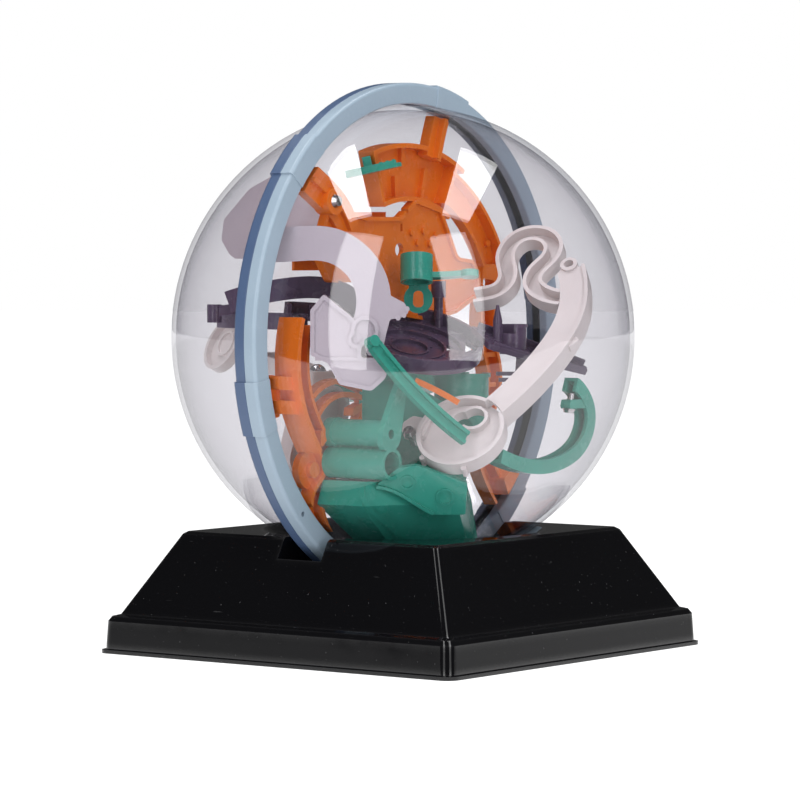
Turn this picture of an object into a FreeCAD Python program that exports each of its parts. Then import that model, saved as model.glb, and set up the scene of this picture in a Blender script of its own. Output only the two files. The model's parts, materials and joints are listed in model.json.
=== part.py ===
import FreeCAD, Part
import math
import os

# A tilt maze game: a clear ball with a two-colour rim, full of moulded tracks for one steel
# ball, resting in the cradle of a black stand.
# Frame: +Z up, origin at the centre of the stand's underside, +X along the axis of the rim
# towards its light half, so the rim lies in the YZ plane. Millimetres.

V = FreeCAD.Vector

# Ball
BALL_HEIGHT = 122.0      # centre of the ball above the table
RIM_RADIUS = 100.0       # outside of the rim, over its raised lands
RIM_INSIDE = 91.0
RIM_HALF = 5.5           # thickness of each half of the rim along X
LAND = 0.8               # how far a land stands out of the rim
LAND_COUNT = 6
LAND_ANGLE = 12.0        # length of a land round the rim, degrees
FIRST_LAND = 38.5        # where the first land starts, degrees from the top towards -Y
DOME_RADIUS = 90.5
DOME_WALL = 1.8
FLANGE_RADIUS = 96.0     # the domes' flanges are trapped between the halves of the rim
FLANGE = 1.5
GAP = 0.2                # assembly clearance

# Stand
FOOT_HALF = 85.0
SKIRT_HALF = 83.0
SKIRT_HEIGHT = 13.4
SLOPE_HALF = 79.2
TOP_HALF = 61.0
TOP_HEIGHT = 47.0
SHEET = 1.4              # thickness of the formed sheet
BOWL_RADIUS = 93.0       # cradle round the dome
SLOT_RADIUS = 106.0      # slot under the rim
SLOT_HALF = 10.5

# Tracks
WALL = 1.5
CLEAR_RADIUS = 88.5      # the tracks stay inside this sphere
STEEL_BALL = 3.5         # radius

# Straight run that the steel ball rests in: low end, direction in plan and slope
RUN_START = (-12.0, -39.4, 105.4)
RUN_HEADING = 159.0
RUN_SLOPE = 8.0
RUN_LENGTH = 40.0
RUN_WIDTH = 10.6

CENTRE = V(0, 0, BALL_HEIGHT)
X_AXIS = V(1, 0, 0)


# ---- frames: each one turns flat work, drawn in x and y, into its place ----

def frame(origin, normal, along):
    z = V(*normal)
    z.normalize()
    x = V(*along)
    x = x - z * x.dot(z)
    x.normalize()
    y = z.cross(x)
    return FreeCAD.Placement(FreeCAD.Matrix(
        x.x, y.x, z.x, origin[0],
        x.y, y.y, z.y, origin[1],
        x.z, y.z, z.z, origin[2],
        0, 0, 0, 1))


def aimed(start, end, facing):
    """Local x runs from start to end, and local z leans as near to facing as it can."""
    x = V(*end) - V(*start)
    x.normalize()
    z = V(*facing)
    z = z - x * z.dot(x)
    return frame(start, tuple(z), tuple(x))


def rim_plane(x):
    """Parallel to the rim: draws in Y and height above the ball's centre."""
    return frame((x, 0, BALL_HEIGHT), (1, 0, 0), (0, 1, 0))


def corner_plane(depth):
    """Upright and facing the stand's front corner: draws in breadth and height."""
    return frame((0.6 * depth, -0.8 * depth, BALL_HEIGHT), (0.6, -0.8, 0), (0.8, 0.6, 0))


def level_plane(height):
    """Level: draws in X and Y at a height above the ball's centre."""
    return frame((0, 0, BALL_HEIGHT + height), (0, 0, 1), (1, 0, 0))


def at_corner(breadth, depth, height):
    """Model coordinates of a point given in the corner plane's terms."""
    return (0.8 * breadth + 0.6 * depth, 0.6 * breadth - 0.8 * depth, BALL_HEIGHT + height)


def put(shape, where):
    moved = shape.copy()
    moved.Placement = where.multiply(shape.Placement)
    return moved


# ---- flat work ----

def joined(*shapes):
    solid = shapes[0]
    if len(shapes) > 1:
        solid = solid.fuse(list(shapes[1:])).removeSplitter()
    return solid


def outline(corners, radius=0.0):
    """Closed outline through the corners, each rounded by radius or by its own third value."""
    count = len(corners)
    runs = []
    for i, corner in enumerate(corners):
        here = V(corner[0], corner[1], 0)
        before = V(corners[i - 1][0], corners[i - 1][1], 0) - here
        after = V(corners[(i + 1) % count][0], corners[(i + 1) % count][1], 0) - here
        wanted = corner[2] if len(corner) > 2 else radius
        half = before.getAngle(after) / 2
        reach = min(wanted / math.tan(half), 0.45 * before.Length, 0.45 * after.Length)
        before.normalize()
        after.normalize()
        bisector = before + after
        if reach < 0.01 or bisector.Length < 1e-6:
            runs.append((here, None, here))
            continue
        bisector.normalize()
        fitted = reach * math.tan(half)
        middle = here + bisector * (fitted / math.sin(half) - fitted)
        runs.append((here + before * reach, middle, here + after * reach))
    edges = []
    for i, (start, middle, end) in enumerate(runs):
        if middle:
            edges.append(Part.Arc(start, middle, end).toShape())
        following = runs[(i + 1) % count][0]
        if end.distanceToPoint(following) > 1e-6:
            edges.append(Part.makeLine(end, following))
    return Part.Wire(edges)


def plate(corners, low, high, radius=0.0):
    face = Part.Face(outline(corners, radius))
    face.translate(V(0, 0, low))
    return face.extrude(V(0, 0, high - low))


def tray(corners, radius, depth, floor=WALL):
    """A plate with a low wall all round its edge."""
    inner = outline(corners, radius).makeOffset2D(-WALL)
    hollow = Part.Face(inner)
    hollow.translate(V(0, 0, floor))
    return plate(corners, 0, depth, radius).cut(hollow.extrude(V(0, 0, depth)))


def disc(x, y, radius, low, high):
    return Part.makeCylinder(radius, high - low, V(x, y, low))


def cup(x, y, radius, low, high, wall=WALL, floor=WALL):
    return disc(x, y, radius, low, high).cut(disc(x, y, radius - wall, low + floor, high + 1))


def sector(inner, outer, start, end, low, high):
    """Part of a flat ring, with its angles in degrees from local x."""
    def at(radius, angle):
        turn = math.radians(angle)
        return V(radius * math.cos(turn), radius * math.sin(turn), low)
    middle = (start + end) / 2
    wire = Part.Wire([
        Part.Arc(at(outer, start), at(outer, middle), at(outer, end)).toShape(),
        Part.makeLine(at(outer, end), at(inner, end)),
        Part.Arc(at(inner, end), at(inner, middle), at(inner, start)).toShape(),
        Part.makeLine(at(inner, start), at(outer, start))])
    return Part.Face(wire).extrude(V(0, 0, high - low))


def beside(curve, offset, steps):
    """The curve that runs a constant distance to the left of another."""
    span = curve.LastParameter - curve.FirstParameter
    points = []
    for i in range(steps + 1):
        at = curve.FirstParameter + span * i / steps
        along = curve.tangent(at)[0]
        points.append(curve.value(at) + V(-along.y, along.x, 0) * offset)
    side = Part.BSplineCurve()
    side.interpolate(points)
    return side


def ribbon(line, left, right, low, high):
    """A strip that follows a smooth line, between two distances to its left."""
    centre = Part.BSplineCurve()
    centre.interpolate([V(x, y, 0) for x, y in line])
    steps = 5 * len(line)
    one = beside(centre, left, steps)
    two = beside(centre, right, steps)
    edges = [one.toShape(), Part.makeLine(one.EndPoint, two.EndPoint),
             two.toShape(), Part.makeLine(two.StartPoint, one.StartPoint)]
    face = Part.Face(Part.Wire(Part.__sortEdges__(edges)))
    face.translate(V(0, 0, low))
    return face.extrude(V(0, 0, high - low))


def channel(line, width, depth):
    """A track with an upright wall on each side, open along the local normal."""
    half = width / 2
    return joined(ribbon(line, half, -half, 0, WALL),
                  ribbon(line, half, half - WALL, 0, depth),
                  ribbon(line, WALL - half, -half, 0, depth))


def rail(line, width, depth):
    """A track whose floor itself bends along the line, and which opens to the line's left."""
    return joined(ribbon(line, 0, -WALL, 0, width),
                  ribbon(line, depth, -WALL, 0, WALL),
                  ribbon(line, depth, -WALL, width - WALL, width))


def bar(line, width, low, high):
    return ribbon(line, width / 2, -width / 2, low, high)


def inside_ball(shape):
    return shape.common(Part.makeSphere(CLEAR_RADIUS, CENTRE))


# ---- stand ----

def square(half, corner, height):
    wire = outline([(half, half), (-half, half), (-half, -half), (half, -half)], corner)
    wire.translate(V(0, 0, height))
    return wire


def stand():
    outer = Part.makeLoft([
        square(FOOT_HALF, 5, 0),
        square(FOOT_HALF, 5, SHEET),
        square(SKIRT_HALF + 0.6, 4.4, SHEET + 0.4),
        square(SKIRT_HALF, 4.2, SKIRT_HEIGHT - 1),
        square(SKIRT_HALF - 1.2, 4, SKIRT_HEIGHT + 0.9),
        square(SLOPE_HALF, 3.4, SKIRT_HEIGHT + 1.6),
        square(TOP_HALF + 1.0, 3, TOP_HEIGHT - 1),
        square(TOP_HALF - 0.6, 2.6, TOP_HEIGHT)], True, True)
    inner = Part.makeLoft([
        square(SKIRT_HALF - 0.8, 3.4, -1),
        square(SKIRT_HALF - SHEET, 3.2, SKIRT_HEIGHT - 1.8),
        square(SLOPE_HALF - SHEET, 2.4, SKIRT_HEIGHT + 0.4),
        square(TOP_HALF - SHEET, 1.6, TOP_HEIGHT - SHEET)], True, True)
    bowl = Part.makeSphere(BOWL_RADIUS, CENTRE)
    bowl_back = Part.makeSphere(BOWL_RADIUS + SHEET, CENTRE)
    slot = Part.makeCylinder(SLOT_RADIUS, 2 * SLOT_HALF, V(-SLOT_HALF, 0, BALL_HEIGHT), X_AXIS)
    back_half = SLOT_HALF + SHEET
    slot_back = Part.makeCylinder(SLOT_RADIUS + SHEET, 2 * back_half,
                                  V(-back_half, 0, BALL_HEIGHT), X_AXIS)
    hollow = inner.cut(bowl_back).cut(slot_back)
    return outer.cut(bowl).cut(slot).cut(hollow)


# ---- rim and domes ----

def turned(profile, angle=360.0, start=0.0):
    """Revolves an (x, radius) profile round the rim's axis, from an angle off the top."""
    face = Part.Face(outline(profile))
    face.rotate(V(0, 0, 0), X_AXIS, 90)
    face.translate(CENTRE)
    solid = face.revolve(CENTRE, X_AXIS, angle)
    solid.rotate(CENTRE, X_AXIS, start)
    return solid


def rim_profile(side, radius, thickness):
    """Section of one rim half; side is 1 for the half towards +X."""
    seat = FLANGE_RADIUS + GAP
    return [(0, seat, 0), (0, radius, 0.3), (side * thickness, radius, 1.4),
            (side * thickness, RIM_INSIDE, 0.7), (side * (FLANGE + GAP), RIM_INSIDE, 0.3),
            (side * (FLANGE + GAP), seat, 0)]


def rim_half(side):
    body = turned(rim_profile(side, RIM_RADIUS - LAND, RIM_HALF - 0.4))
    lands = [turned(rim_profile(side, RIM_RADIUS, RIM_HALF), LAND_ANGLE,
                    FIRST_LAND + i * 360.0 / LAND_COUNT)
             for i in range(LAND_COUNT)]
    return joined(body, *lands)


def rim_front():
    middle = (RIM_RADIUS + RIM_INSIDE) / 2
    turn = math.radians(43)
    pin_hole = put(disc(-middle * math.cos(turn), -middle * math.sin(turn), 1.1, 0, 9),
                   rim_plane(2.6))
    return rim_half(1).cut(pin_hole)


def rim_rear():
    return rim_half(-1)


def dome(side):
    shell = Part.makeSphere(DOME_RADIUS, CENTRE).cut(
        Part.makeSphere(DOME_RADIUS - DOME_WALL, CENTRE))
    reach = 2 * DOME_RADIUS
    keep = Part.makeBox(reach, reach, reach,
                        V(0 if side > 0 else -reach, -reach / 2, BALL_HEIGHT - reach / 2))
    flange = turned([(0, DOME_RADIUS - DOME_WALL + 0.05), (0, FLANGE_RADIUS),
                     (side * FLANGE, FLANGE_RADIUS),
                     (side * FLANGE, DOME_RADIUS - DOME_WALL + 0.05)])
    return joined(shell.common(keep), flange)


# ---- orange tracks, which carry all the others ----

def orange_backbone():
    web = tray([(-52, 50), (-42, 50.5), (-28, 47), (-6, 47), (4, 54), (21, 50), (27, 40),
                (32, 31), (42, 30), (48, 24), (45, 15), (31, 9), (14, 6), (-2, 8), (-14, 17),
                (-30, 22), (-50, 22), (-59, 34)], 4, 3.6, 2.2)
    boss_row = [disc(x, y, 1.3, 2, 3.4) for x, y in
                ((2, 41), (6, 37), (10, 41.5), (14, 36.5), (18, 40))]
    left_arm = bar([(-64.5, 62), (-56, 57), (-47, 51), (-40, 42)], 12.5, 0, 4.2)
    left_ridge = bar([(-64.5, 62), (-56, 57), (-47, 51), (-40, 42)], 2.0, 0, 6)
    screw_boss = disc(-52, 53, 5.2, 0, 7)
    top_arm = bar([(22.5, 86), (19.5, 78), (17, 70)], 9.5, -2, 2.5)
    top_ridge = bar([(22.5, 86), (19.5, 78), (17, 70)], 1.8, -2, 5)
    plate_hole = disc(-5.3, 34.2, 2.7, -1, 9)
    slots = [plate([(y, z), (y + 1.4, z), (y + 1.4, z + 3), (y, z + 3)], -1, 9)
             for y, z in ((-2.6, 47), (-4.6, 41.4))]
    flat = joined(web, left_arm, left_ridge, screw_boss, *boss_row).cut(plate_hole).cut(slots)
    pocket_depth = 7.5
    pocket = joined(sector(53.5, 75.5, 60, 107, -5, -3),
                    sector(74, 75.8, 60, 107, -5, pocket_depth - 5),
                    sector(53.2, 55, 60, 107, -5, 3),
                    sector(53.5, 75.5, 105.6, 107.2, -5, pocket_depth - 5),
                    sector(55, 63, 92, 93.6, -5, -1),
                    sector(67, 75, 88, 89.6, -5, -1),
                    sector(56, 68, 75, 76.6, -5, -1),
                    sector(58, 75, 63, 64.8, -5, 2))
    return inside_ball(put(joined(flat, pocket, top_arm, top_ridge), rim_plane(0)))


def orange_arc_track():
    track = joined(sector(58.8, 71.6, 16, 64, 0, WALL),
                   sector(70.1, 71.6, 16, 64, 0, 6),
                   sector(58.8, 60.2, 16, 64, 0, 4.5))
    foot = plate([(50, 17), (62, 17), (70, 20), (66, 28), (52, 28)], 0, 4.5, 3)
    window = plate([(51.5, 19.5), (59, 18.6), (59.3, 21.6), (51.8, 22.5)], -1, 9, 0.8)
    knob = disc(57.5, 36.5, 1.4, 1, 3)
    return put(joined(track, foot, knob).cut(window), rim_plane(-3))


def orange_left_channel():
    line = [(-70, 7.5), (-72.5, -6), (-71, -19), (-66, -30), (-60, -39)]
    upper = joined(bar(line, 11, 0, WALL),
                   ribbon(line, -3.6, -5.5, 0, 11),
                   ribbon(line, 5.5, 4.0, 0, 8),
                   bar([(-67, 6), (-68.5, -10), (-66, -24), (-60, -35)], 1.4, 0, 5))
    hook = plate([(-60, -34), (-54.5, -33), (-53, -31), (-55.5, -37), (-60, -41)], 0, 8, 0.8)
    tail_line = [(-60, -37), (-53, -44), (-52, -52), (-59, -60), (-58, -68), (-48, -79)]
    tail = joined(bar(tail_line, 8, 0, WALL),
                  ribbon(tail_line, 4, 2.6, 0, 6),
                  ribbon(tail_line, -2.6, -4, 0, 6))
    wheel = joined(disc(-60, -49, 7.5, 0, 3), disc(-60, -49, 3, 0, 5))
    clips = [plate([(-86, low), (-72, low - 1), (-72, low + 4), (-86, low + 5)], 1, 8, 1)
             for low in (-17.5, -26.5)]
    spine = plate([(-86, -29), (-80, -28), (-80, -13), (-86, -12)], 1, 4, 1)
    return inside_ball(put(joined(upper, hook, tail, wheel, spine, *clips), rim_plane(-2)))


def orange_fan():
    low, high = 0.5, 5
    arcs = [bar([(-63, -21), (-56, -17), (-48, -15.6), (-40, -16.8), (-30, -20)], 2, low, high),
            bar([(-62, -32), (-56, -24.5), (-49, -21.4), (-40, -21), (-31, -23)], 2, low, high)]
    upright = bar([(-30, -17.5), (-31.5, -25), (-35, -33)], 2, low, high)
    tooth = plate([(-32, -27), (-39, -29.5), (-38.5, -26.2), (-31.5, -24)], low, high, 0.5)
    return put(joined(upright, tooth, *arcs), rim_plane(0))


def orange_right_rail():
    line = [(52, 15.5), (50.5, 5), (52, -6), (55, -15), (52, -27), (47, -38), (49, -50),
            (57, -62), (64, -70)]
    track = joined(bar(line, 10, 0, WALL),
                   ribbon(line, 5, 3.5, 0, 6),
                   ribbon(line, -3.5, -5, 0, 6))
    rungs = [plate([(47.4, y), (57, y), (57, y + 1.8), (47.4, y + 1.8)], 0, 5)
             for y in (-9, -21, -33)]
    window = plate([(49.2, -3), (54.4, -4), (54.4, -8), (49.2, -7)], -1, 3, 0.6)
    foot = plate([(57, -58), (70, -50), (72, -56), (62, -68)], 0, 9, 1.5)
    return inside_ball(put(joined(track, foot, *rungs).cut(window), rim_plane(-1)))


def orange_strut():
    return put(bar([(4.5, -15), (12, -18.5), (21, -23.5)], 2.2, 0, 2.4), corner_plane(47))


# ---- purple tracks ----

BOWL_FRAME = frame(at_corner(2.7, 20, -1.9), (0.33, -0.17, 0.93), (0.8, 0.6, 0))
BOWL_STEPS = 3
BOWL_HUB = 7.0           # radius of the flat middle
BOWL_TREAD = 6.6
BOWL_RISE = 1.0
BOWL_FLOOR = 1.4


def purple_bowl():
    rings = []
    for i in range(BOWL_STEPS):
        inner = BOWL_HUB + i * BOWL_TREAD
        low = i * BOWL_RISE - 3
        rings.append(disc(0, 0, inner + BOWL_TREAD, low, low + BOWL_FLOOR).cut(
            disc(0, 0, inner, low - 1, low + 4)))
        rings.append(disc(0, 0, inner + 0.8, low, low + 2.1).cut(disc(0, 0, inner, low - 1, low + 4)))
    rim_radius = BOWL_HUB + BOWL_STEPS * BOWL_TREAD
    rim_low = (BOWL_STEPS - 1) * BOWL_RISE - 3
    rim = disc(0, 0, rim_radius + 1.2, rim_low, rim_low + 6).cut(
        disc(0, 0, rim_radius - 0.3, rim_low - 1, rim_low + 8))
    hub = disc(0, 0, BOWL_HUB + 0.2, -3.8, -2.4)
    windows = [plate(corners, -6, 12) for corners in (
        [(7.8, 4), (9.4, 3.9), (8.4, 2.2)],
        [(14.3, 6.7), (17.8, 3.9), (14.5, 0.2)],
        [(21.8, 9.9), (25.9, 5), (21.5, -1.3)])]
    bowl = joined(hub, rim, *rings).cut(windows)
    post_frame = frame((10.0, 9.8, 126.5), (0, 0, 1), (1, 0, 0))
    post = put(joined(disc(0, 0, 1.8, -3, 12), disc(0, 0, 2.9, 11, 17.5)), post_frame)
    return joined(put(bowl, BOWL_FRAME), post)


def purple_right_arm():
    arm_frame = aimed(at_corner(31, 20.5, -1), at_corner(70, 0, -13.5), (0.22, -0.3, 0.9))
    blade = joined(plate([(-2, -9), (19, -8), (46, -3.4), (47.5, 2.5), (21, 8), (-2, 10)], 0, 2, 1),
                   bar([(0, 8.6), (21, 6.6), (46, 1.8)], WALL, 0, 4.4),
                   bar([(0, -7.6), (19, -6.8), (45, -2.6)], WALL, 0, 3.2))
    level = frame(at_corner(42.6, 15, -3), (0, 0, 1), (0.8, 0.6, 0))
    gate = plate([(-4, -9), (1, -9), (1, 0), (-4, 0)], 5, 9)
    drum = joined(cup(0, 0, 5.2, -3, 8.5, 1.2, 5), disc(0, 0, 5.8, 7.4, 8.5).cut(
        disc(0, 0, 4.2, 7, 9))).cut(gate)
    pin = joined(disc(-6, -1.5, 1.8, -2, 10), Part.makeCone(1.8, 0.5, 6, V(-6, -1.5, 10)))
    comb = joined(plate([(43, -19), (49, -17), (50, -5.4), (44, -5.4)], 14, 16, 0.5),
                  *[plate([(36 + i, -14.4 - 2.4 * i), (46, -14.4 - 2.4 * i), (46, -12.9 - 2.4 * i),
                           (36 + i, -12.9 - 2.4 * i)], 14, 16.5) for i in range(3)])
    return joined(put(blade, arm_frame), put(joined(drum, pin), level), put(comb, corner_plane(0)))


def purple_left_band():
    line = [(-66, 12), (-58, 14.4), (-49, 16.2), (-39, 17.4), (-31, 17.2), (-25, 15.6), (-18.4, 9.7)]
    track = rail(line, 9, 6.8)
    arm = plate([(-75, 8.5), (-63, 10), (-63, 14), (-71, 13)], 0, 5, 1)
    peg = disc(-72.3, 3, 2.8, -13.5, -6.6)
    peg.rotate(V(0, 0, 0), X_AXIS, 90)
    return inside_ball(put(joined(track, arm, peg), corner_plane(30)))


def purple_lower_band():
    line = [(-48, -50.5), (-34, -57), (-18, -60.5), (-4, -62.5)]
    lug = disc(-2.5, -63, 3.6, 0, 5.6)
    return put(joined(channel(line, 7.5, 6.2), lug), level_plane(4.2))


# ---- green tracks ----

def green_base():
    def level(points, height):
        wire = outline(points)
        wire.translate(V(0, 0, BALL_HEIGHT + height))
        return wire
    foot = level([(3, -31), (20, -33), (38, -9), (35, 2), (3, 8)], -80)
    belt = level([(3, -58.5), (24, -58), (43, -23), (30, 4), (3, 10)], -62)
    top = level([(3, -55), (23, -54), (39, -24), (28, 2), (3, 8)], -53)
    body = joined(Part.makeLoft([foot, belt], True, True), Part.makeLoft([belt, top], True, True))
    proud = body.copy()
    proud.translate(V(0.5, -0.7, 0))
    rib = put(bar([(-15.5, -54), (-15, -59), (-10, -66), (-1, -77)], 1.8, 20, 80), corner_plane(0))
    ring = put(disc(-6.8, -66.6, 1.5, 20, 80).cut(disc(-6.8, -66.6, 0.8, 19, 81)), corner_plane(0))
    return inside_ball(joined(body, proud.common(rib), proud.common(ring)))


def green_flange():
    where = frame(at_corner(0, 54, -56), (0.55, -0.74, -0.30), (0.8, 0.6, 0))
    body = plate([(-10.6, 2.2), (-1, -1), (5, -5, 4), (11.5, -9.4, 3), (23.5, -9.4), (24.2, 3.4),
                  (5, 10.5, 3), (-2, 9.5, 3)], 0, 2.4, 0.8)
    lip = bar([(-10.2, 2), (-1, -1), (5, -5), (11.5, -8.8)], 1.2, 0, 3.4)
    marks = [cup(x, y, radius, 2, 3.2, 0.7, 0) for x, y, radius in ((1.5, 3.8, 2.9), (15.8, -2, 3.4))]
    return inside_ball(put(joined(body, lip, *marks), where))


def green_tunnels():
    along = frame((4, 0, BALL_HEIGHT), (1, 0, 0), (0, 1, 0))
    upper = disc(-51.5, -34.8, 5.2, 0, 29).cut(disc(-51.5, -34.8, 3.9, -1, 27))
    upper_collar = disc(-51.5, -34.8, 5.7, 0, 4).cut(disc(-51.5, -34.8, 3.9, -1, 27))
    web = plate([(-57, -33.5, 5), (-57, -41, 5.5), (-46.5, -41, 5.5), (-41, -14, 1.5),
                 (-45.5, -14, 1.5)], 26.5, 29, 1.5)
    web_hole = disc(-51.5, -34.8, 1.8, 20, 40)
    lower = disc(-51.0, -46.2, 6.1, 0, 29).cut(disc(-51.0, -46.2, 4.7, -1, 40))
    stay = plate([(-52, -41.5), (-46, -41.5), (-46, -39.4), (-52, -39.4)], 3, 26, 0)
    return put(joined(upper, upper_collar, web, lower, stay).cut(web_hole), along)


def green_tower():
    panel = plate([(-16.5, -16), (-3, -15.5), (3, -17.5), (22, -27), (27, -33), (24, -56),
                   (6, -56), (-8, -44), (-17.5, -32)], 0, 2.4, 1.5)
    rim = ribbon([(-3, -15.5), (3, -17.5), (12, -22), (22, -27)], 0, -2.2, 0, 5.5)
    stiffener = bar([(-1.5, -17), (-2.5, -30), (-6, -40)], 1.6, 0, 4.5)
    silo_seat = disc(15, -34, 3, 2, 5)
    return put(joined(panel, rim, stiffener, silo_seat), corner_plane(27))


def green_silo():
    top = -13.5
    body = joined(cup(25, 4.5, 10.6, -40, top), disc(25, 4.5, 11.4, top - 1.6, top).cut(
        disc(25, 4.5, 9.1, top - 3, top + 1)))
    gate = Part.makeBox(8, 30, 12, V(21, 10, top - 8))
    return put(body.cut(gate), level_plane(0))


LEFT_RUN_HIGH = V(30.5, -60.0, 120.5)
LEFT_RUN_LOW = V(51.5, -30.5, 85.0)


def green_left_channel():
    length = LEFT_RUN_HIGH.distanceToPoint(LEFT_RUN_LOW)
    where = aimed(tuple(LEFT_RUN_HIGH), tuple(LEFT_RUN_LOW), (0.50, -0.60, 0.62))
    line = [(0, 0), (0.35 * length, -1.8), (0.7 * length, -1.8), (length, 0)]
    body = channel(line, 5.6, 2.7)
    peg = disc(-1.5, 0.5, 2.2, -1, 3.4)
    bridge = plate([(-2, -2.2), (4, -2.6), (4, 2.6), (-2, 2.2)], 0, 2)
    return put(joined(body, peg, bridge), where)


def green_right_channel():
    line = [(-17, -45), (-3.7, -48.8), (13, -50.4), (27.4, -48.3), (38.4, -43.3), (44, -36.4),
            (45, -29.4), (41.5, -22.5), (34, -17)]
    track = rail(line, 6.4, 4)
    tab = plate([(29, -27.5), (42, -27.5), (42, -24), (30, -24)], 1.5, 6, 1)
    return put(joined(track, tab), rim_plane(53))


def green_cup():
    where = frame(at_corner(5.2, 19, 27), (-0.15, 0.20, 0.97), (0.8, 0.6, 0))
    body = disc(0, 0, 6.3, -5.4, 5.4).cut(disc(0, 0, 5.0, -7, 4))
    arm = plate([(5.6, -2.6), (12, -3.4), (20, -6), (21, -2.5), (12, 1), (5.6, 2.2)], -4, -1.8, 0.8)
    pad = disc(20.5, -4.5, 3.4, -4.5, -1.8)
    ring = joined(disc(0.7, -10.7, 5.6, 0, 1.8),
                  plate([(-3, -9), (4.6, -9), (4.6, -3), (-3, -3)], 0, 1.8))
    oval = plate([(-1.5, -14), (2.9, -14), (2.5, -7.6), (-1.1, -7.6)], -1, 4, 1.8)
    loop = put(ring.cut(oval), corner_plane(12.8).multiply(
        FreeCAD.Placement(V(5.2, 26, 0), FreeCAD.Rotation())))
    return joined(put(joined(body, arm, pad), where), loop)


def green_shelf():
    where = frame(at_corner(-12, 20, 64), (-0.20, -0.10, 0.97), (0.78, 0.6, 0.22))
    deck = plate([(-10, -3.4), (10, -3.4), (12, 0), (10, 3.4), (-10, 3.4)], 0, 1.6, 0.8)
    lip = plate([(-10, -3.4), (10, -3.4), (10, -2.2), (-10, -2.2)], 0, 2.8)
    teeth = [plate([(x, -2.4), (x + 1.2, -2.4), (x + 1.2, 0.5), (x, 0.5)], 1, 3.2)
             for x in (3.5, 6.0, 8.5)]
    upright = plate([(-2.6, -1), (0.8, -1), (0.8, 3), (-2.6, 3)], 1, 6.6, 0.5)
    return put(joined(deck, lip, upright, *teeth), where)


# ---- white tracks ----

DISH_ORIGIN = at_corner(20.3, 46, -40)
DISH_NORMAL = (0.214, -0.702, 0.680)
DISH_FRAME = frame(DISH_ORIGIN, DISH_NORMAL, (0.8, 0.6, 0))
DISH_CENTRE = (2.8, 2.5)
DISH_RADIUS = 17.2
ARM_LINE = [(47.9, 76.5), (48.8, 66), (46.9, 52.5), (41.2, 40.3), (33.4, 29.4), (25, 20), (14, 10)]
S_LINE = [(9, 71.7), (14.1, 71.5), (18.6, 72.4), (22, 76), (22.8, 82), (22, 88.6), (23.7, 95),
          (28.2, 99.2), (34.5, 99.4), (39.8, 95.6), (41.4, 89.4), (38.8, 83.8), (34.4, 79.2),
          (32.6, 73.4), (36, 67), (43.5, 62.4)]


def dish_disc(radius, low, high):
    return disc(DISH_CENTRE[0], DISH_CENTRE[1], radius, low, high)


def white_dish():
    body = dish_disc(DISH_RADIUS, 0, 6).cut(dish_disc(DISH_RADIUS - WALL, WALL, 9))
    guard = joined(disc(7.6, 9.2, 5.8, 0, 4.2), disc(3, 9.6, 4.6, 0, 4.2))
    guard_hole = joined(disc(7.6, 9.2, 4.5, -1, 9), disc(3, 9.6, 3.3, -1, 9))
    mouth = ribbon(ARM_LINE, 4.4, -4.4, WALL, 9)
    lug = plate([(-12, 4), (-20.5, 8, 1), (-20, 13, 2), (-16, 15.5, 2), (-9, 12)], 0, 4, 1)
    studs = [disc(DISH_CENTRE[0] + 17.8 * math.cos(turn), DISH_CENTRE[1] + 17.8 * math.sin(turn),
                  1.1, 0, 4) for turn in (math.radians(-88), math.radians(-150))]
    return put(joined(body, guard, lug, *studs).cut(guard_hole).cut(mouth), DISH_FRAME)


def white_long_arm():
    track = joined(ribbon(ARM_LINE, 5.8, -5.4, 4.2, 4.2 + WALL),
                   ribbon(ARM_LINE, 5.8, 4.4, -2.2, 6.6),
                   ribbon(ARM_LINE, -4.2, -5.4, 1.5, 4.2 + WALL))
    eye = joined(disc(47.4, 78.6, 3.4, 3, 6.6), plate([(43, 75), (52, 75), (50.6, 78), (44.4, 78)],
                                                     4.2, 4.2 + WALL))
    eye_hole = disc(47.4, 78.8, 1.9, -1, 9)
    spur = plate([(46, 36), (50, 39), (49, 41), (44, 40)], 2, 5, 0.4)
    arm = joined(track, eye, spur).cut(eye_hole).cut(dish_disc(DISH_RADIUS + 0.02, -3, 9))
    return put(arm, DISH_FRAME)


def white_s_track():
    return put(channel(S_LINE, 7.8, 6).cut(ribbon(ARM_LINE, 5.7, -5.5, -3, 9)), DISH_FRAME)


def white_bracket():
    line = [(-50, 36.5), (-38, 37), (-27, 36.3), (-18.5, 31.5), (-12.8, 23.5), (-11.2, 14), (-13, 6)]
    chute = joined(bar(line, 13, 0, WALL),
                   ribbon(line, 6.5, 5.0, -8, WALL),
                   ribbon(line, -5.0, -6.5, -8, WALL))
    nose = plate([(-16, 19), (-6, 18), (0.5, 14.5), (2.2, 11), (-1, 9), (-5, 8.5), (-6.5, 3),
                  (-7.5, -2), (-10, -5.5), (-13.5, -5), (-15, 0)], -5, WALL, 1.2)
    knuckles = [disc(x, y, 0.9, -3, 2.4) for x, y in ((1.4, 12.4), (0.2, 10), (-2, 9))]
    eye = joined(disc(-14.5, 4.5, 5.2, 0, 3), disc(-17.5, 1, 3.4, 0, 3))
    eye_hole = joined(disc(-14.5, 4.5, 3.9, 1.4, 9), disc(-17.5, 1, 2.1, 1.4, 9))
    return inside_ball(put(joined(chute, nose, eye, *knuckles).cut(eye_hole), corner_plane(60)))


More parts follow.
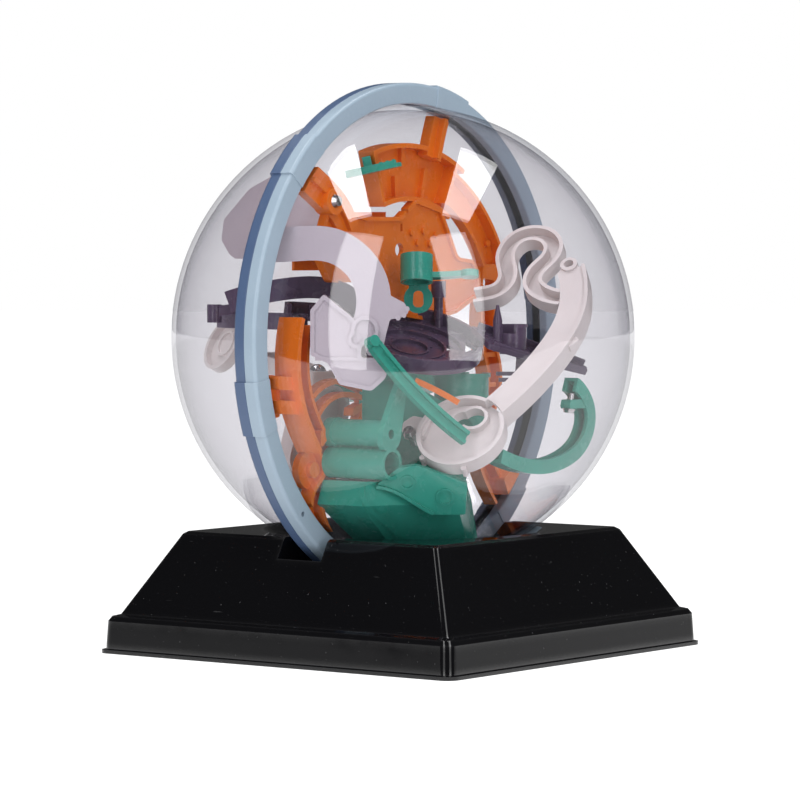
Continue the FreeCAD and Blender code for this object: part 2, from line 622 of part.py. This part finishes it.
def white_hopper():
    edge = [(-35, 12), (-30, 18), (-20, 10), (-15.5, 5), (-16, -6), (-6.5, -6, 2), (-6, -13, 5),
            (-12, -18.5, 3), (-24, -16), (-28.5, -8), (-35, -5)]
    ledge = plate([(-33.2, -7), (-15, -7), (-15, -5.8), (-33.2, -5.8)], -6, 0.8)
    shell = tray(edge, 1.2, 12).mirror(V(0, 0, 0), V(0, 0, 1))
    edge_line = tray(edge, 1.2, 0.9, 0)
    return inside_ball(put(joined(shell, ledge, edge_line), corner_plane(62)))


def white_rear_panel():
    panel = plate([(-70, 46, 3), (-71, 38, 3), (-67, 31, 4), (-58, 30.5), (-28, 30.5), (-27, 62),
                   (-46, 66), (-60, 58, 8)], -3, -1, 1)
    lip = bar([(-66, 31.5), (-50, 31), (-28, 31)], WALL, -9, -1)
    fold = bar([(-66, 40), (-50, 40), (-28, 40)], WALL, -6, -1)
    return inside_ball(put(joined(panel, lip, fold), corner_plane(0)))


def white_rear_cup():
    where = frame(at_corner(-68, -4, -4), (-0.3, -0.85, 0.42), (0.8, 0.6, 0))
    body = disc(0, 0, 11, 0, 4).cut(disc(0, 0, 9.6, 1.4, 5))
    mark = disc(0, 1, 5.4, 1, 2.4).cut(disc(0, 1, 4.2, 0, 4))
    stem = plate([(4, -3), (17, 0), (17, 5), (4, 3)], 0, 1.6, 0.6)
    return inside_ball(put(joined(body, mark, stem), where))


def white_scoop():
    body = tray([(-56, -48), (-48, -54), (-38, -50), (-20, -36), (-16, -26), (-24, -18),
                 (-36, -20), (-50, -32)], 6, 6)
    return put(body, rim_plane(-19))


# ---- the steel ball and the run that it rests in ----

def run_frame():
    turn, rise = math.radians(RUN_HEADING), math.radians(RUN_SLOPE)
    along = (math.cos(turn) * math.cos(rise), math.sin(turn) * math.cos(rise), math.sin(rise))
    normal = (-math.cos(turn) * math.sin(rise), -math.sin(turn) * math.sin(rise), math.cos(rise))
    return frame(RUN_START, normal, along)


def white_ball_run():
    half = RUN_WIDTH / 2
    stop = STEEL_BALL + 0.2
    far = RUN_LENGTH
    body = plate([(-stop - WALL, -half), (far, -half), (far, half), (-stop - WALL, half)],
                 -WALL, 5, 1)
    hollow = plate([(-stop, WALL - half), (far - WALL, WALL - half), (far - WALL, half - WALL),
                    (-stop, half - WALL)], -0.05, 9, 0.5)
    window = plate([(-2, -half - 1), (4, -half - 1), (4, 0), (-2, 0)], 1.2, 9)
    return put(body.cut(hollow).cut(window), run_frame())


def steel_ball():
    return put(Part.makeSphere(STEEL_BALL, V(0, 0, STEEL_BALL)), run_frame())


# ---- tracks on the far side ----

def orange_rear_stair():
    steps = [plate([(-6 + 9 * i, -7), (4 + 9 * i, -7), (4 + 9 * i, 7), (-6 + 9 * i, 7)],
                   -4.5 * i, 1.8 - 4.5 * i) for i in range(5)]
    risers = [plate([(2.4 + 9 * i, -7), (4 + 9 * i, -7), (4 + 9 * i, 7), (2.4 + 9 * i, 7)],
                    -4.5 * (i + 1), 1.8 - 4.5 * i) for i in range(4)]
    cheek = plate([(-6, 7), (40, 7), (40, 8.5), (-6, 8.5)], -18, 5)
    where = frame((-30, -16, BALL_HEIGHT + 44), (0, 0, 1), (0.25, 0.97, 0))
    return inside_ball(put(joined(cheek, *steps, *risers), where))


def purple_rear_arc():
    track = joined(sector(38, 49, 118, 232, 0, WALL),
                   sector(47.5, 49, 118, 232, 0, 6),
                   sector(38, 39.5, 118, 232, 0, 6))
    where = frame((-4, 8, BALL_HEIGHT + 2), (0.10, 0.06, 0.99), (1, 0, 0))
    return inside_ball(put(track, where))


def green_rear_ramp():
    line = [(-34, -8), (-18, -2), (2, -4), (22, -12), (38, -10)]
    where = frame((-34, 6, BALL_HEIGHT - 26), (-0.35, 0.1, 0.93), (0.2, 0.97, -0.15))
    return inside_ball(put(channel(line, 11, 6.5), where))


def rear_loop():
    curl = [sector(17, 28, 20, 340, 0, WALL), sector(26.5, 28, 20, 340, 0, 5.5),
            sector(17, 18.5, 20, 340, 0, 5.5)]
    where = frame((-40, 10, BALL_HEIGHT - 52), (-0.55, 0.12, 0.82), (0.2, 0.97, 0))
    return inside_ball(put(joined(*curl), where))


# ---- fasteners ----

def screw(origin, normal, length):
    head = Part.makeCone(2.7, 1.9, 1.7)
    neck = disc(0, 0, 1.25, -length, 0)
    slots = joined(Part.makeBox(3.6, 0.7, 2, V(-1.8, -0.35, 0.8)),
                   Part.makeBox(0.7, 3.6, 2, V(-0.35, -1.8, 0.8)))
    return put(joined(head, neck).cut(slots), frame(origin, normal, (0.31, 0.94, 0.11)))


def dish_point(x, y, z):
    return tuple(DISH_FRAME.multVec(V(x, y, z)))


SCREWS = {
    "backbone_screw": ((7.0, -52, BALL_HEIGHT + 53), (1, 0, 0), 7),
    "band_end_screw": (at_corner(-40, 52.6, 7.4), (0.6, -0.8, 0.1), 6),
    "band_boss_screw": (at_corner(-72.3, 33, 8.5), (0, 0, -1), 5),
    "dish_screw": (dish_point(-17.5, 7.2, 4), DISH_NORMAL, 7),
    "channel_screw": ((56.8, 32, BALL_HEIGHT - 27.5), (-0.1, -0.1, -1), 6),
}


def track_screws():
    return Part.makeCompound([screw(*place) for place in SCREWS.values()])


# Pieces in the order they are fitted: a later piece gives way to an earlier one it meets.
PIECES = [
    ("stand", stand),
    ("dome_front", lambda: dome(1)),
    ("dome_rear", lambda: dome(-1)),
    ("rim_front", rim_front),
    ("rim_rear", rim_rear),
    ("steel_ball", steel_ball),
    ("track_screws", track_screws),
    ("white_ball_run", white_ball_run),
    ("orange_backbone", orange_backbone),
    ("orange_arc_track", orange_arc_track),
    ("orange_left_channel", orange_left_channel),
    ("orange_right_rail", orange_right_rail),
    ("orange_fan", orange_fan),
    ("orange_strut", orange_strut),
    ("purple_bowl", purple_bowl),
    ("purple_right_arm", purple_right_arm),
    ("purple_left_band", purple_left_band),
    ("purple_lower_band", purple_lower_band),
    ("white_dish", white_dish),
    ("white_long_arm", white_long_arm),
    ("white_s_track", white_s_track),
    ("white_bracket", white_bracket),
    ("white_hopper", white_hopper),
    ("green_tunnels", green_tunnels),
    ("green_tower", green_tower),
    ("green_silo", green_silo),
    ("green_left_channel", green_left_channel),
    ("green_right_channel", green_right_channel),
    ("green_cup", green_cup),
    ("green_shelf", green_shelf),
    ("green_flange", green_flange),
    ("green_base", green_base),
    ("white_scoop", white_scoop),
    ("white_rear_panel", white_rear_panel),
    ("white_rear_cup", white_rear_cup),
    ("orange_rear_stair", orange_rear_stair),
    ("purple_rear_arc", purple_rear_arc),
    ("green_rear_ramp", green_rear_ramp),
    ("white_rear_loop", rear_loop),
]
FITTED_FROM = 6          # pieces before this one never meet each other


def largest(shape):
    """The biggest solid of a shape, without the crumbs that a cut can leave."""
    return max(shape.Solids, key=lambda solid: solid.Volume)


def fitted(shape, earlier):
    box = shape.BoundBox
    for other in earlier:
        if box.intersect(other.BoundBox) and shape.distToShape(other)[0] < 1e-6:
            shape = shape.cut(other)
    return shape


def main():
    os.makedirs("parts", exist_ok=True)
    done = []
    for index, (name, make) in enumerate(PIECES):
        shape = make()
        if index >= FITTED_FROM:
            shape = fitted(shape, [other for _, other in done[FITTED_FROM - 1:]])
        if name != "track_screws":
            shape = largest(shape)
        done.append((name, shape))
        shape.exportStep("parts/%s.step" % name)
        print("%-22s %2d solid(s) %8.0f mm3 valid %s" % (
            name, len(shape.Solids), shape.Volume, shape.isValid()))


main()
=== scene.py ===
import json
import math
import bpy
from mathutils import Matrix, Vector

# Looks of a clear maze ball with a two-tone blue rim, on its black stand. Metres, +Z up,
# +X along the rim's axis towards its light half.

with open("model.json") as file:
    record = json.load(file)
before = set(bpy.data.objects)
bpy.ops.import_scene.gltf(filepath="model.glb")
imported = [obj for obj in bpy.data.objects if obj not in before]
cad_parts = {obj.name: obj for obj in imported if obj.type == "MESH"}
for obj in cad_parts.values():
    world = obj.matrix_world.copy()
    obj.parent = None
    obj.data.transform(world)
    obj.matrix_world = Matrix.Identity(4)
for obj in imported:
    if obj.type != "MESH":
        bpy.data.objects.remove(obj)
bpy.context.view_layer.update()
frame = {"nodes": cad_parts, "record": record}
nodes = frame["nodes"]

# The studio is laid out from the stand's front corner, which faces the camera.
BALL_CENTRE = Vector((0, 0, 0.122))
RIGHT = Vector((0.8, 0.6, 0))
TOWARDS = Vector((0.6, -0.8, 0))
UP = Vector((0, 0, 1))

# White surroundings: how bright they look, how much soft light they give, and how dim they are
# in reflections, as black cloth round a white table would make them.
SEEN = 1.0
SOFT_LIGHT = 0.45
REFLECTED = 0.06

TABLE_FRONT = 0.5        # from the ball's centre to the near edge of the table
TABLE_REACH = 6.0        # to its far edge and to each side

CAMERA_PLACE = (0.97788, -1.31090, 0.16816)
CAMERA_AIM = (-0.0004, -0.0014, 0.0975)
CAMERA_LENS = 188.3      # millimetres, on a film this wide
CAMERA_FILM = 36.0


# ---- shader arithmetic ----

class Value:
    """A shader socket that takes part in Python arithmetic by adding Math nodes."""

    def __init__(self, network, socket):
        self.network = network
        self.socket = socket

    def math(self, operation, *values):
        return self.network.node("Math", {"operation": operation}, dict(enumerate(values)))

    def __add__(self, other):
        return self.math("ADD", self, other)

    def __radd__(self, other):
        return self.math("ADD", other, self)

    def __sub__(self, other):
        return self.math("SUBTRACT", self, other)

    def __rsub__(self, other):
        return self.math("SUBTRACT", other, self)

    def __mul__(self, other):
        return self.math("MULTIPLY", self, other)

    def __rmul__(self, other):
        return self.math("MULTIPLY", other, self)

    def __pow__(self, other):
        return self.math("POWER", self, other)

    def above(self, level, softness):
        """0 below a level and 1 above it, with a soft step between."""
        return self.network.node(
            "MapRange", {"interpolation_type": "SMOOTHSTEP", "clamp": True},
            {"Value": self, "From Min": level - softness, "From Max": level + softness})


class Network:
    """The nodes of a material or of the world."""

    def __init__(self, tree):
        self.tree = tree

    def node(self, kind, settings, inputs, output=0):
        """Adds a node: its settings first, then the values or links of its sockets."""
        made = self.tree.nodes.new("ShaderNode" + kind)
        for name, setting in settings.items():
            setattr(made, name, setting)
        for name, value in inputs.items():
            self.feed(made.inputs[name], value)
        return Value(self, made.outputs[output])

    def feed(self, socket, value):
        """Links a value to a socket, or sets the socket to a number or a colour."""
        if isinstance(value, Value):
            self.tree.links.new(value.socket, socket)
        elif socket.type == "RGBA" and len(value) == 3:
            socket.default_value = (*value, 1)
        else:
            socket.default_value = value


class Finish(Network):
    """One procedural material, built round its Principled shader."""

    def __init__(self, name):
        self.material = bpy.data.materials.new(name)
        self.material.use_nodes = True
        super().__init__(self.material.node_tree)
        self.shader = self.tree.nodes["Principled BSDF"]
        self.place = self.node("TexCoord", {}, {}, "Object")

    def noise(self, size, detail=2.0, stretch=None):
        """Noise whose lumps are about this many metres across."""
        where = self.place
        if stretch:
            where = self.node("Mapping", {}, {"Vector": where, "Scale": stretch})
        return self.node("TexNoise", {}, {"Vector": where, "Scale": 1 / size, "Detail": detail})

    def mix(self, amount, first, second):
        return self.node("Mix", {"data_type": "RGBA"}, {0: amount, 6: first, 7: second}, 2)

    def edges(self, width):
        """1 along the corners of the piece and 0 on its flats."""
        rounded = self.node("Bevel", {"samples": 4}, {"Radius": width})
        flat = self.node("NewGeometry", {}, {}, "Normal")
        along = self.node("VectorMath", {"operation": "DOT_PRODUCT"}, {0: rounded, 1: flat},
                          "Value")
        return (1 - along).above(0.07, 0.06)

    def bump(self, height, depth, strength):
        return self.node("Bump", {}, {"Height": height, "Distance": depth, "Strength": strength})

    def set(self, **sockets):
        for name, value in sockets.items():
            self.feed(self.shader.inputs[name.replace("_", " ")], value)


# ---- finishes ----

def moulded(name, colour, deep, speck_and_highlight, roughness):
    """Injection-moulded plastic: faint flow marks, fine orange peel, pale specks, and paler corners
    that are a painted highlight.
    """
    finish = Finish(name)
    flow = finish.noise(0.022, 3, (1, 1, 2.4)).above(0.5, 0.22)
    speck = finish.noise(0.0011, 2)
    scuff = finish.noise(0.006, 5).above(0.62, 0.08)
    edge = finish.edges(0.0005)
    body = finish.mix(flow * 0.55, colour, deep)
    body = finish.mix(speck.above(0.66, 0.03) * 0.12, body, speck_and_highlight)
    # Painted highlight: the corners are mixed towards the pale last colour.
    body = finish.mix(edge * 0.45, body, speck_and_highlight)
    peel = finish.noise(0.0024, 2)
    finish.set(Base_Color=body, Roughness=roughness + speck * 0.06 + scuff * 0.12,
               Normal=finish.bump(peel, 0.00012, 0.5))
    return finish.material


def formed_sheet():
    """Thin glossy black sheet with a wavy skin, dust, a few fine scratches, and a painted highlight
    along its corners.
    """
    finish = Finish("formed_black_sheet")
    wave = finish.noise(0.03, 2)
    peel = finish.noise(0.004, 2)
    dust = finish.noise(0.0009, 1).above(0.785, 0.012)
    scratch = finish.noise(0.0016, 3, (0.06, 1, 1)).above(0.735, 0.012)
    edge = finish.edges(0.0010)
    body = finish.mix(dust * 0.4 + scratch * 0.12, (0.003, 0.003, 0.0036), (0.16, 0.16, 0.165))
    # Painted highlight: the corners are a slightly paler black.
    body = finish.mix(edge * 0.3, body, (0.035, 0.035, 0.038))
    finish.set(Base_Color=body, Roughness=0.04 + peel * 0.03 + dust * 0.3 + scratch * 0.15,
               Specular_IOR_Level=0.145,
               Coat_Weight=finish.edges(0.004) * 0.9, Coat_Roughness=0.03,
               Normal=finish.bump(wave + peel * 0.02, 0.00022, 0.6))
    return finish.material


def clear_shell():
    """Thin polished clear plastic: looked through it is faintly grey, and greyer at its edge."""
    finish = Finish("clear_shell")
    facing = finish.node("LayerWeight", {}, {"Blend": 0.5}, "Facing")
    haze = finish.noise(0.05, 3)
    dust = finish.noise(0.0012, 1).above(0.79, 0.012)
    clear = finish.node("BsdfTransparent", {}, {"Color": (0.915, 0.91, 0.925)})
    smoked = finish.node("BsdfTransparent", {}, {"Color": (0.5, 0.5, 0.53)})
    film = finish.node("BsdfPrincipled", {}, {"Base Color": (0.5, 0.5, 0.52), "Roughness": 0.4})
    gloss = finish.node("BsdfGlossy", {}, {"Color": (1, 1, 1), "Roughness": 0.015})
    thickness = (facing ** 3.5) * 0.42 + haze * 0.012
    through = finish.node("MixShader", {}, {0: thickness, 1: clear, 2: smoked})
    through = finish.node("MixShader", {}, {0: dust * 0.12 + haze * 0.003, 1: through, 2: film})
    mirror = (facing ** 5.0) * 0.35 + 0.04
    skin = finish.node("MixShader", {}, {0: mirror, 1: through, 2: gloss})
    finish.tree.links.new(skin.socket, finish.tree.nodes["Material Output"].inputs["Surface"])
    finish.tree.nodes.remove(finish.shader)
    return finish.material


def plated(name, colour, roughness, turned):
    """Bright steel with turning marks."""
    finish = Finish(name)
    marks = finish.noise(0.0007, 3, turned)
    stain = finish.noise(0.002, 3).above(0.6, 0.15)
    body = finish.mix(stain * 0.4, colour, (0.33, 0.31, 0.29))
    finish.set(Base_Color=body, Metallic=1.0, Roughness=roughness + marks * 0.12,
               Normal=finish.bump(marks, 0.00003, 0.4))
    return finish.material


FINISHES = {
    "stand_black": formed_sheet(),
    "clear_shell": clear_shell(),
    # The last colour of each moulded finish gives the pale specks and the painted highlight along the
    # corners.
    "rim_light_blue": moulded("rim_light_blue", (0.27, 0.345, 0.42), (0.25, 0.325, 0.4),
                              (0.4, 0.48, 0.57), 0.3),
    "rim_dark_blue": moulded("rim_dark_blue", (0.058, 0.095, 0.18), (0.05, 0.083, 0.165),
                             (0.11, 0.16, 0.28), 0.3),
    "track_white": moulded("track_white", (0.7, 0.64, 0.625), (0.63, 0.575, 0.565),
                           (0.8, 0.76, 0.75), 0.3),
    "track_orange": moulded("track_orange", (0.84, 0.185, 0.006), (0.74, 0.145, 0.005),
                            (0.85, 0.3, 0.06), 0.22),
    "track_purple": moulded("track_purple", (0.1, 0.068, 0.118), (0.07, 0.048, 0.086),
                            (0.22, 0.17, 0.25), 0.22),
    "track_green": moulded("track_green", (0.04, 0.34, 0.25), (0.026, 0.265, 0.195),
                           (0.09, 0.4, 0.31), 0.22),
    "ball_steel": plated("polished_steel", (0.72, 0.72, 0.74), 0.04, (1, 1, 1)),
    "screw_steel": plated("zinc_plate", (0.62, 0.61, 0.6), 0.16, (1, 1, 6)),
}
LAVENDER = moulded("pale_lavender", (0.54, 0.485, 0.53), (0.5, 0.45, 0.5), (0.7, 0.66, 0.7), 0.3)
LAVENDER_NODES = ("white_bracket", "white_hopper", "white_rear_panel")

slot_of = {part["node"]: part["material_slot"] for part in frame["record"]["subparts"]}
for name, node in nodes.items():
    node.data.materials.clear()
    node.data.materials.append(LAVENDER if name in LAVENDER_NODES else FINISHES[slot_of[name]])


# ---- studio ----

def softbox(name, place, face, long_side, width, length, radiance):
    """A soft rectangular light at a place, with its face and its length turned two given ways."""
    light = bpy.data.lights.new(name, "AREA")
    light.shape = "RECTANGLE"
    light.size = width
    light.size_y = length
    light.energy = radiance * width * length * math.pi
    back = -face.normalized()
    side = long_side.cross(back).normalized()
    turned = Matrix((side, back.cross(side), back)).transposed().to_4x4()
    lamp = bpy.data.objects.new(name, light)
    lamp.matrix_world = Matrix.Translation(place) @ turned
    bpy.context.collection.objects.link(lamp)


def studio_point(right, up, towards):
    """A place given by its distances from the ball's centre."""
    return BALL_CENTRE + RIGHT * right + UP * up + TOWARDS * towards


def add_lights():
    for name, right, up, towards, width, length, radiance in (
            ("left_window", -0.56, 0.425, 1.134, 0.46, 1.69, 4.0),
            ("right_window", 0.58, 0.433, 1.0, 0.4, 1.41, 4.2)):
        place = studio_point(right, up, towards)
        softbox(name, place, BALL_CENTRE - place, UP, width, length, radiance)
    softbox("left_top", studio_point(-0.355, 1.0, 0.03), -UP, TOWARDS, 0.21, 0.94, 8.0)
    softbox("right_top", studio_point(0.435, 1.0, 0.01), -UP, TOWARDS, 0.25, 0.92, 7.0)


def add_world():
    """White to look at, soft for diffuse light and dim in reflections, like a draped studio."""
    world = bpy.data.worlds.new("studio")
    bpy.context.scene.world = world
    world.use_nodes = True
    network = Network(world.node_tree)
    background = network.tree.nodes["Background"]
    looked_at = network.node("LightPath", {}, {}, "Is Camera Ray")
    mirrored = network.node("LightPath", {}, {}, "Is Glossy Ray")
    strength = looked_at * (SEEN - SOFT_LIGHT) + SOFT_LIGHT - mirrored * (SOFT_LIGHT - REFLECTED)
    network.feed(background.inputs["Color"], (1, 1, 1))
    network.feed(background.inputs["Strength"], strength)


def add_floor():
    """A pale table top, long to the sides and back, that ends a little way in front."""
    front = TOWARDS * TABLE_FRONT
    back = TOWARDS * -TABLE_REACH
    side = RIGHT * TABLE_REACH
    mesh = bpy.data.meshes.new("floor")
    mesh.from_pydata([front - side, front + side, back + side, back - side], [], [(0, 1, 2, 3)])
    floor = bpy.data.objects.new("floor", mesh)
    bpy.context.collection.objects.link(floor)
    finish = Finish("pale_paper")
    tone = finish.noise(0.4, 2)
    finish.set(Base_Color=finish.mix(tone, (0.2, 0.2, 0.2), (0.23, 0.23, 0.23)), Roughness=0.85,
               Emission_Color=(1, 1, 1), Emission_Strength=1.0)
    mesh.materials.append(finish.material)


def add_camera():
    camera = bpy.data.cameras.new("camera")
    camera.lens = CAMERA_LENS
    camera.sensor_width = CAMERA_FILM
    holder = bpy.data.objects.new("camera", camera)
    holder.location = CAMERA_PLACE
    holder.rotation_euler = (Vector(CAMERA_AIM) - holder.location).to_track_quat("-Z", "Y").to_euler()
    bpy.context.collection.objects.link(holder)
    bpy.context.scene.camera = holder


add_lights()
add_world()
add_floor()
add_camera()
bpy.context.scene.view_settings.view_transform = "Standard"
